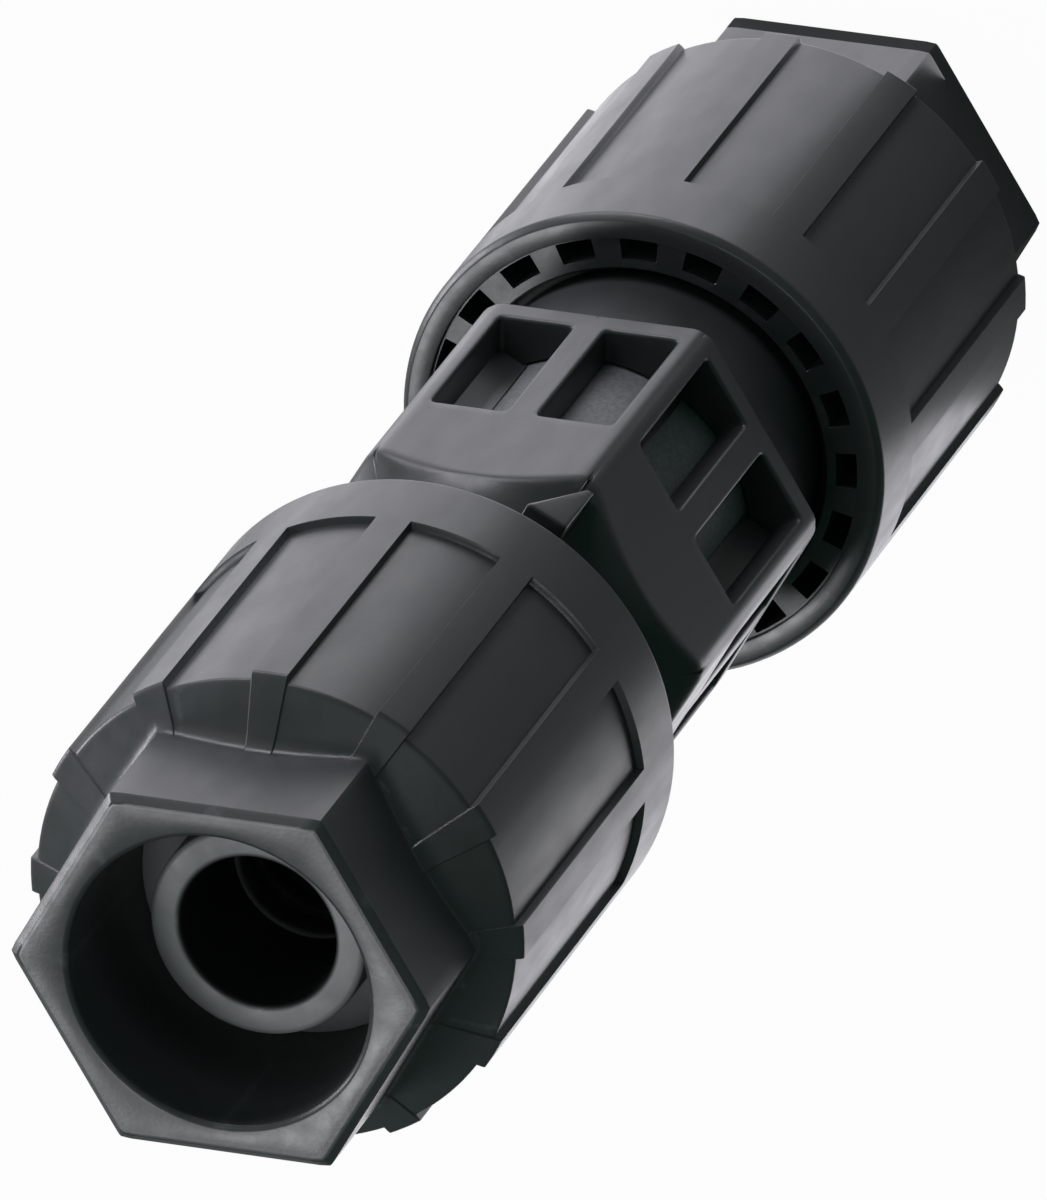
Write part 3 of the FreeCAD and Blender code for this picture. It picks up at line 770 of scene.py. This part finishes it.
@dataclass
class CentreHousing:
    """The housing: a hexagon with two windows in each flat, and a neck and a ratchet tongue at each end."""

    apothem: float = 12.7
    corner_radius: float = 14.355
    low: float = 46.8
    low_edge: float = 0.25
    high: float = 71.1
    cone_slope: float = 1.1
    neck_radius: float = 11.6
    bore_radius: float = 10.4
    neck_end: float = 22.5
    neck_chamfer: float = 0.3
    seat_depth: float = 37.0
    seat_radius: float = 11.15
    seat_half_width: float = 0.6
    window_side: tuple[float, float] = (1.05, 6.05)
    window_height: tuple[float, float] = (48.7, 61.7)
    window_corner: float = 0.35
    lip: float = 0.28
    side_steps: int = 16
    tongue_angle: float = 63.0
    tongue_radii: tuple[float, float] = (12.4, 14.2)
    tongue_width: float = 3.0
    tongue_heel: float = 0.5
    tongue_edge: float = 0.22
    upper_tongue: tuple[float, float] = (70.1, 75.2)
    lower_tongue: tuple[float, float] = (47.8, 43.8)

    def shares(self) -> np.ndarray:
        """Give a side's points, closer near its corners: (1 - cos(pi x)) / 2."""
        return (1 - np.cos(np.linspace(0, np.pi, self.side_steps + 1))) / 2

    def outer_radius(self, angle: np.ndarray, height: np.ndarray) -> np.ndarray:
        """Give the hexagon's radius, at an angle from a flat's middle and a height.

        It is the smallest of the flat, apothem / cos(angle), the corner's cylinder and the upper end's
        cone, whose radius grows by 1 / slope for each millimetre down from the flats' top, and it is drawn
        in at the lower edge.

        Args:
            angle: Degrees from the flat's middle, from 0 to 30.
            height: Height along the axis.

        Returns:
            The radius.
        """
        flat = self.apothem / np.cos(np.radians(angle))
        cone = self.apothem + (self.high - height) / self.cone_slope
        past_edge = np.clip(1 - (height - self.low) / self.low_edge, 0, 1)
        round_edge = self.low_edge * (1 - np.sqrt(1 - past_edge**2))
        body = smooth_min(flat, np.full_like(flat, self.corner_radius), 0.2)
        return smooth_min(body, cone, 0.3) - round_edge

    def ring_path(
        self, low: tuple[float, float], high: tuple[float, float], corner: float = 0.0
    ) -> np.ndarray:
        """Go round a rectangle, with its corners rounded.

        A point p of the rectangle near a corner moves onto the arc: q + corner (p - q) / |p - q|, where q
        is p kept inside the rectangle that is smaller by the corner's radius all round.

        Args:
            low: The rectangle's lowest corner.
            high: The rectangle's highest corner.
            corner: Radius of its corners.

        Returns:
            The path's points, one pair a row, without the first one again at the end.
        """
        share = self.shares()[:-1]
        (left, bottom), (right, top) = low, high
        across = np.concatenate([left + (right - left) * share, np.full_like(share, right),
                                 right + (left - right) * share, np.full_like(share, left)])
        up = np.concatenate([np.full_like(share, bottom), bottom + (top - bottom) * share,
                             np.full_like(share, top), top + (bottom - top) * share])
        points = np.stack([across, up], axis=-1)
        kept = np.clip(points, np.array(low) + corner, np.array(high) - corner)
        away = points - kept
        length = np.linalg.norm(away, axis=1, keepdims=True)
        return np.where(length > 0, kept + corner * away / np.where(length > 0, length, 1), points)

    def window_cell(self) -> np.ndarray:
        """Give half a flat with its window: points from its edge over the lip and in to the bore.

        Rows go round the window. Outside, a row's angle and height are a share of the way from the half
        flat's edge to the window's, put onto the hexagon. The lip is a quarter circle, the wall goes
        straight in, and the last rows spread over the bore.

        Returns:
            Across, outwards and height of each point, rows by points. Across is 0 on the flat's middle line.
        """
        (left, right), (bottom, top) = self.window_side, self.window_height
        edge = self.ring_path((0.0, self.low), (30.0, self.high))
        wide = self.ring_path((left - self.lip, bottom - self.lip), (right + self.lip, top + self.lip),
                              self.window_corner + self.lip)
        wide_angle = np.stack([np.degrees(np.arctan2(wide[:, 0], self.apothem)), wide[:, 1]], axis=-1)
        share = np.concatenate([np.linspace(0, 0.24, 13), [0.32, 0.45, 0.6, 0.78, 0.92, 1.0]])[:, None, None]
        spread = edge + (wide_angle - edge) * share
        radius = self.outer_radius(spread[..., 0], spread[..., 1])
        turn = np.radians(spread[..., 0])
        outside = np.stack([radius * np.sin(turn), radius * np.cos(turn), spread[..., 1]], axis=-1)

        rows = []
        for turn in np.linspace(0, np.pi / 2, 5)[1:]:
            outwards = np.full(len(edge), self.apothem - self.lip * (1 - np.cos(turn)))
            rows.append(np.column_stack([self.lip_ring(self.lip * (1 - np.sin(turn))), outwards]))
        window = self.lip_ring(0.0)
        bore = np.sqrt(self.bore_radius**2 - window[:, 0] ** 2)
        rows += [np.column_stack([window, bore + rise]) for rise in (0.6, 0.12)]
        lips = np.stack(rows)[..., (0, 2, 1)]

        inner = self.lip_ring(0.1)
        inner_angle = np.stack([np.degrees(np.arcsin(inner[:, 0] / self.bore_radius)), inner[:, 1]], axis=-1)
        back = inner_angle + (edge - inner_angle) * np.array([0.0, 0.1, 0.4, 0.7, 1.0])[:, None, None]
        turn, bore = np.radians(back[..., 0]), self.bore_radius
        inside = np.stack([bore * np.sin(turn), bore * np.cos(turn), back[..., 1]], axis=-1)
        return np.concatenate([outside, lips, inside])

    def lip_ring(self, grown: float) -> np.ndarray:
        """Give the window's outline, grown all round."""
        (left, right), (bottom, top) = self.window_side, self.window_height
        low, high = (left - grown, bottom - grown), (right + grown, top + grown)
        return self.ring_path(low, high, self.window_corner + grown)

    def hexagon(self) -> Surface:
        """Place the half flat's cell, and its mirror image, at the six flats.

        Returns:
            The hexagon with its windows and bore, open at both ends.
        """
        cell = self.window_cell()
        base = Surface.from_grid(cell, False, True)
        mirrored = Surface(base.points * (-1, 1, 1), base.quads[:, ::-1])
        parts = []
        for flat in range(6):
            turn = math.radians(30 + 60 * flat)
            sine, cosine = math.sin(turn), math.cos(turn)
            axes = np.array([[-sine, cosine, 0], [cosine, sine, 0], [0, 0, 1]])
            parts += [Surface(part.points @ axes, part.quads) for part in (base, mirrored)]
        return parts[0].joined(*parts[1:])

    def neck(self, upper: bool) -> Surface:
        """Give one end: from the hexagon over the shoulder or cone, along the neck and back up the bore.

        Args:
            upper: Whether it is the upper end, which starts with a cone.

        Returns:
            The end's surface, which meets the hexagon's cells point by point.
        """
        half = 30 * self.shares()
        sector = np.concatenate([-half[::-1], half[1:-1]])
        angle = (30 + 60 * np.arange(6)[:, None] + sector[None, :]).ravel()
        from_flat = np.abs(np.tile(sector, 6))
        start = self.high if upper else self.low
        edge = self.outer_radius(from_flat, np.full_like(from_flat, start))
        away = 1 if upper else -1
        end = OVERALL_LENGTH - self.neck_end if upper else self.neck_end
        seat = OVERALL_LENGTH - self.seat_depth if upper else self.seat_depth
        foot = self.high + (self.apothem - self.neck_radius) * self.cone_slope if upper else self.low
        rows = [
            [self.neck_radius + 0.06, foot], [self.neck_radius, foot + away * 0.06],
            [self.neck_radius, seat - away * (self.seat_half_width + 0.08)],
            [self.neck_radius - 0.08, seat - away * self.seat_half_width],
            [self.seat_radius, seat - away * self.seat_half_width],
            [self.seat_radius, seat + away * self.seat_half_width],
            [self.neck_radius - 0.08, seat + away * self.seat_half_width],
            [self.neck_radius, seat + away * (self.seat_half_width + 0.08)],
            [self.neck_radius, end - away * (self.neck_chamfer + 0.05)],
            [self.neck_radius - self.neck_chamfer, end],
            [self.bore_radius + 0.12, end], [self.bore_radius, end - away * 0.12],
            [self.bore_radius, start],
        ]
        outline, shape = np.array(rows), (len(rows), len(angle))
        radius = np.concatenate([edge[None, :], np.broadcast_to(outline[:, :1], shape)])
        height = np.concatenate([np.full((1, len(angle)), start), np.broadcast_to(outline[:, 1:], shape)])
        surface = Surface.from_grid(polar(radius, angle[None, :], height), False, True)
        return surface if upper else surface.flipped()

    def tongue(self, upper: bool) -> Surface:
        """Give one ratchet tongue, a wedge with rounded edges that widens from its heel to its tip.

        Rows run from the heel, which lies in the hexagon, to the tip. A row is a rounded rectangle, whose
        one side stays on a straight line while the other moves out from the heel's width to the full one.
        Near the tip it shrinks by a quarter circle, and at both ends to a point that closes it.

        Args:
            upper: Whether it is the upper end's tongue.

        Returns:
            The tongue's closed surface.
        """
        inner, outer = self.tongue_radii
        heel, tip = self.upper_tongue if upper else self.lower_tongue
        quarter = np.linspace(0, np.pi / 2, 6)
        share = np.concatenate([[0.0], np.linspace(0, 1, 8)])
        height = heel + (tip - heel) * share
        toward_tip = math.copysign(self.tongue_edge, tip - heel)
        height = np.concatenate([height[:-1], tip - toward_tip * (1 - np.sin(quarter)), [tip]])
        width = self.tongue_heel + (self.tongue_width - self.tongue_heel) * (height - heel) / (tip - heel)
        inset = np.concatenate([np.zeros(len(share) - 1), self.tongue_edge * (1 - np.cos(quarter)), [0.0]])
        half = np.stack([np.full_like(width, (outer - inner) / 2), width / 2], axis=-1) - inset[:, None]
        half[0] = half[-1] = 0
        unit = np.array([[-1.0, -1.0], [1.0, -1.0], [1.0, 1.0], [-1.0, 1.0]])
        sharpness = self.tongue_edge / ((outer - inner) / 2)
        outline = round_corners(unit, np.full(4, sharpness), 5)
        side = -1 if upper else 1
        off_middle = side * (self.tongue_width - width) / 2
        middle = np.stack([np.full_like(width, (inner + outer) / 2), off_middle], axis=-1)
        flat = middle[:, None, :] + outline[None, :, :] * half[:, None, :]
        turn = math.radians(self.tongue_angle if upper else self.tongue_angle + 180)
        x = flat[..., 0] * math.cos(turn) - flat[..., 1] * math.sin(turn)
        y = flat[..., 0] * math.sin(turn) + flat[..., 1] * math.cos(turn)
        points = np.stack([x, y, np.broadcast_to(height[:, None], x.shape)], axis=-1)
        surface = Surface.from_grid(points, False, True)
        return surface if signed_volume(surface.points, surface.quads) > 0 else surface.flipped()

    def build(self, material: bpy.types.Material) -> bpy.types.Object:
        """Make the housing, which stands for its CAD node.

        Args:
            material: The housing's finish.

        Returns:
            The housing.
        """
        shell = self.hexagon().joined(self.neck(True), self.neck(False))
        if signed_volume(shell.points, shell.quads) < 0:
            shell = shell.flipped()
        whole = shell.joined(self.tongue(True), self.tongue(False))
        return stand_for(whole.make("housing_shell", material), "housing", "centre_housing")


# Gland


@dataclass
class Gland:
    """What the nut presses together: the pressure ring in its mouth, and the soft seal behind it."""

    end: End
    cable_bore: float = 5.1
    nose_radius: float = 7.1
    nose_front: float = 7.2
    nose_rounding: float = 0.45
    flange: tuple[float, float] = (13.6, 17.0)
    flange_radius: float = 11.52
    seal: tuple[float, float] = (17.1, 24.4)
    seal_radius: float = 8.8
    seal_bore: float = 4.8
    seal_groove: tuple[float, float] = (0.5, 1.2)
    columns: int = 120

    def pressure_ring(self, material: bpy.types.Material) -> bpy.types.Object:
        """Turn the pressure ring from its rounded outline.

        Args:
            material: The ring's finish.

        Returns:
            The ring, which rides on the gland.
        """
        top, back = self.flange
        corners = np.array([
            [self.cable_bore, self.nose_front], [self.nose_radius, self.nose_front], [self.nose_radius, top],
            [self.flange_radius, top], [self.flange_radius, back], [self.cable_bore, back],
        ])
        reach = np.array([self.nose_rounding, self.nose_rounding, 0.3, 0.2, 0.2, 0.2])
        surface = turned(round_corners(corners, reach, 6), self.columns)
        surface.points = self.end.place(surface.points)
        ring = surface.make(f"{self.end.value}_pressure_ring_nose", material)
        return self.mount(ring, "pressure_ring")

    def cable_seal(self, material: bpy.types.Material) -> bpy.types.Object:
        """Turn the cable seal, a sleeve with two shallow grooves in its bore.

        Args:
            material: The seal's finish.

        Returns:
            The seal, which rides on the gland.
        """
        top, back = self.seal
        sink, width = self.seal_groove
        corners = [[self.seal_bore, top], [self.seal_radius, top],
                   [self.seal_radius, back], [self.seal_bore, back]]
        for share in (2 / 3, 1 / 3):
            middle = top + (back - top) * share
            corners += [[self.seal_bore, middle + width / 2], [self.seal_bore + sink, middle],
                        [self.seal_bore, middle - width / 2]]
        reach = np.concatenate([np.full(4, 0.35), np.tile([0.25, 0.2, 0.25], 2)])
        surface = turned(round_corners(np.array(corners), reach, 5), self.columns)
        surface.points = self.end.place(surface.points)
        seal = surface.make(f"{self.end.value}_cable_seal_sleeve", material)
        return self.mount(seal, "cable_seal")

    def mount(self, piece: bpy.types.Object, node: str) -> bpy.types.Object:
        """Let a piece ride on this end's gland in place of this end's CAD node.

        Args:
            piece: The dressed piece.
            node: The CAD node's name without the end's.

        Returns:
            The same piece.
        """
        return stand_for(piece, f"{self.end.value}_gland", f"{self.end.value}_{node}")


@dataclass
class InnerParts:
    """The CAD nodes that are shown as they are: cages, splice rings, carriers, O-rings and contacts."""

    nodes: dict[str, bpy.types.Object]

    def dress(self, finishes: dict[Slot, bpy.types.Material]) -> None:
        """Give each node its finish.

        Args:
            finishes: The material of each slot.
        """
        kinds = {
            "clamping_cage": Slot.RING, "splice_ring": Slot.RING, "pressure_ring": Slot.RING,
            "contact_carrier": Slot.CARRIER, "seal_ring": Slot.SEAL, "cable_seal": Slot.SEAL,
            "fork_contact": Slot.CONTACT, "union_nut": Slot.SHELL, "centre_housing": Slot.SHELL,
        }
        for name, node in self.nodes.items():
            slot = next(slot for kind, slot in kinds.items() if kind in name)
            node.data.materials.clear()
            node.data.materials.append(finishes[slot])
            log.info("%s: finished as %s", name, finishes[slot].name)


# Studio


@dataclass(frozen=True)
class Softbox:
    """A rectangular lamp, which faces the connector's middle, or straight up where it lies on the floor."""

    name: str
    place: tuple[float, float, float]
    size: tuple[float, float]
    power: float
    colour: Colour
    lying: bool = False

    def hang(self) -> None:
        """Add the lamp, which the camera doesn't see."""
        data = bpy.data.lights.new(self.name, "AREA")
        data.shape, data.energy, data.color = "RECTANGLE", self.power, self.colour
        data.size, data.size_y = self.size
        lamp = bpy.data.objects.new(self.name, data)
        lamp.location = self.place
        aim = Vector((*self.place[:2], 1)) if self.lying else Vector((0, 0, OVERALL_LENGTH / 2 * MILLIMETRE))
        lamp.rotation_euler = (aim - Vector(self.place)).to_track_quat("-Z", "Y").to_euler()
        lamp.visible_camera = False
        bpy.context.scene.collection.objects.link(lamp)


LILAC: Colour = (0.96, 0.94, 1.0)
NEUTRAL: Colour = (0.97, 0.97, 1.0)
SOFTBOXES = (
    Softbox("low_key_softbox", (-0.30, 0.70, 0.08), (0.5, 0.15), 3.0, LILAC),
    Softbox("high_key_softbox", (-0.45, 0.75, 0.70), (0.5, 0.4), 0.6, LILAC),
    Softbox("left_softbox", (-0.95, 0.15, 0.15), (0.4, 0.25), 6.0, LILAC),
    Softbox("front_softbox", (-0.53, -0.37, 1.07), (0.3, 0.3), 6.4, NEUTRAL),
    Softbox("top_softbox", (0.0, 0.0, 1.0), (0.2, 0.2), 1.9, NEUTRAL),
    Softbox("camera_side_softbox", (0.25, 0.55, 1.2), (0.5, 0.5), 0.3, NEUTRAL),
    Softbox("low_panel_bright_side", (-0.067, 0.076, 0.002), (0.15, 0.148), 0.112, LILAC, lying=True),
    Softbox("low_panel_far_side", (0.015, -0.08, 0.002), (0.14, 0.13), 0.1, LILAC, lying=True),
)


@dataclass
class Studio:
    """Pale floor, white surroundings, soft lamps and the photograph's camera."""

    floor_half: float = 3.0
    floor_colour: Colour = (0.30, 0.30, 0.305)
    floor_lift: float = 0.97
    glossy_lift: float = 0.06
    ambient: Colour = (0.3, 1.0, 0.7)
    ambient_strength: float = 0.08
    world_glossy_share: float = 0.02
    eye: tuple[float, float, float] = (609.961, 868.610, 1732.171)
    right: tuple[float, float, float] = (0.9427745, -0.0224241, -0.3326760)
    up: tuple[float, float, float] = (-0.1271501, 0.8981641, -0.4208730)
    toward: tuple[float, float, float] = (0.3082354, 0.4390882, 0.8439150)
    lens: float = 937.0
    sensor_width: float = 36.0
    nearest: float = 0.05
    farthest: float = 50.0

    def build(self) -> None:
        """Set up floor, surroundings, lamps and camera."""
        self.floor()
        self.surroundings()
        for softbox in SOFTBOXES:
            softbox.hang()
        self.camera()
        bpy.context.scene.view_settings.view_transform = "Standard"

    @staticmethod
    def seen_directly(
        nodes: bpy.types.Nodes, links: bpy.types.NodeLinks, glossy_share: float
    ) -> bpy.types.NodeSocket:
        """Tell how far a ray shows the white background.

        Args:
            nodes: The tree's nodes.
            links: The tree's links.
            glossy_share: What a glossy ray gets.

        Returns:
            1 for a camera or transmission ray, the share for a glossy one, else 0.
        """
        path = nodes.new("ShaderNodeLightPath")
        glossy, seen, either = (nodes.new("ShaderNodeMath") for _ in range(3))
        glossy.operation, seen.operation, either.operation = "MULTIPLY", "MAXIMUM", "MAXIMUM"
        links.new(path.outputs["Is Glossy Ray"], glossy.inputs[0])
        glossy.inputs[1].default_value = glossy_share
        links.new(path.outputs["Is Camera Ray"], seen.inputs[0])
        links.new(path.outputs["Is Transmission Ray"], seen.inputs[1])
        links.new(glossy.outputs[0], either.inputs[0])
        links.new(seen.outputs[0], either.inputs[1])
        return either.outputs[0]

    def floor(self) -> None:
        """Lay the pale floor under the lower end face."""
        half = self.floor_half
        mesh = bpy.data.meshes.new("studio_floor")
        corners = [(-half, -half, 0), (half, -half, 0), (half, half, 0), (-half, half, 0)]
        mesh.from_pydata(corners, [], [(0, 1, 2, 3)])
        bench = NodeBench("studio_floor_paper")
        fibres = bench.noise(bench.place(), 1.5, 3.0)
        shaded = tuple(0.98 * share for share in self.floor_colour)
        bench.fill(bench.shader, "Base Color", bench.blend(fibres, self.floor_colour, shaded))
        bench.fill(bench.shader, "Roughness", 0.9)
        bench.fill(bench.shader, "Specular IOR Level", 0.1)
        white = bench.add("ShaderNodeEmission", Strength=1.0)
        mix = bench.nodes.new("ShaderNodeMixShader")
        seen = self.seen_directly(bench.nodes, bench.links, self.glossy_lift)
        lifted = bench.spread(seen, (0.0, 1.0), (0.0, self.floor_lift))
        bench.links.new(lifted, mix.inputs["Fac"])
        bench.links.new(bench.shader.outputs["BSDF"], mix.inputs[1])
        bench.links.new(white.outputs["Emission"], mix.inputs[2])
        bench.links.new(mix.outputs["Shader"], bench.nodes["Material Output"].inputs["Surface"])
        mesh.materials.append(bench.material)
        floor = bpy.data.objects.new("studio_floor", mesh)
        bpy.context.scene.collection.objects.link(floor)

    def surroundings(self) -> None:
        """Show white behind everything, and light the object evenly and faintly from all sides."""
        world = bpy.data.worlds.new("studio_surroundings")
        world.use_nodes = True
        nodes, links = world.node_tree.nodes, world.node_tree.links
        ambient = nodes["Background"]
        ambient.inputs["Color"].default_value = (*self.ambient, 1.0)
        ambient.inputs["Strength"].default_value = self.ambient_strength
        white = nodes.new("ShaderNodeBackground")
        white.inputs["Color"].default_value = (1.0, 1.0, 1.0, 1.0)
        mix = nodes.new("ShaderNodeMixShader")
        links.new(self.seen_directly(nodes, links, self.world_glossy_share), mix.inputs["Fac"])
        links.new(ambient.outputs["Background"], mix.inputs[1])
        links.new(white.outputs["Background"], mix.inputs[2])
        links.new(mix.outputs["Shader"], nodes["World Output"].inputs["Surface"])
        bpy.context.scene.world = world

    def camera(self) -> None:
        """Place the camera where the photograph was taken from."""
        data = bpy.data.cameras.new("photo_camera")
        data.sensor_width, data.sensor_fit, data.lens = self.sensor_width, "AUTO", self.lens
        data.clip_start, data.clip_end = self.nearest, self.farthest
        camera = bpy.data.objects.new("photo_camera", data)
        axes = Matrix((self.right, self.up, self.toward)).transposed()
        camera.matrix_world = Matrix.Translation(Vector(self.eye) * MILLIMETRE) @ axes.to_4x4()
        bpy.context.scene.collection.objects.link(camera)
        bpy.context.scene.camera = camera


def main() -> None:
    """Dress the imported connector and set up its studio."""
    logging.basicConfig(level=logging.INFO, format="%(name)s %(message)s")
    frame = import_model()
    shell = SHELL_PLASTIC.make()
    ring, carrier = RING_PLASTIC.make(), CARRIER_PLASTIC.make()
    rubber, metal = SealRubber().make(), TinnedBrass().make()
    finishes = {
        Slot.SHELL: shell, Slot.RING: ring, Slot.CARRIER: carrier, Slot.SEAL: rubber, Slot.CONTACT: metal,
    }
    InnerParts(frame["nodes"]).dress(finishes)
    CentreHousing().build(shell)
    for end in End:
        UnionNut(end).build(shell)
        gland = Gland(end)
        gland.pressure_ring(ring)
        gland.cable_seal(rubber)
    Studio().build()


if __name__ == "__main__":
    main()
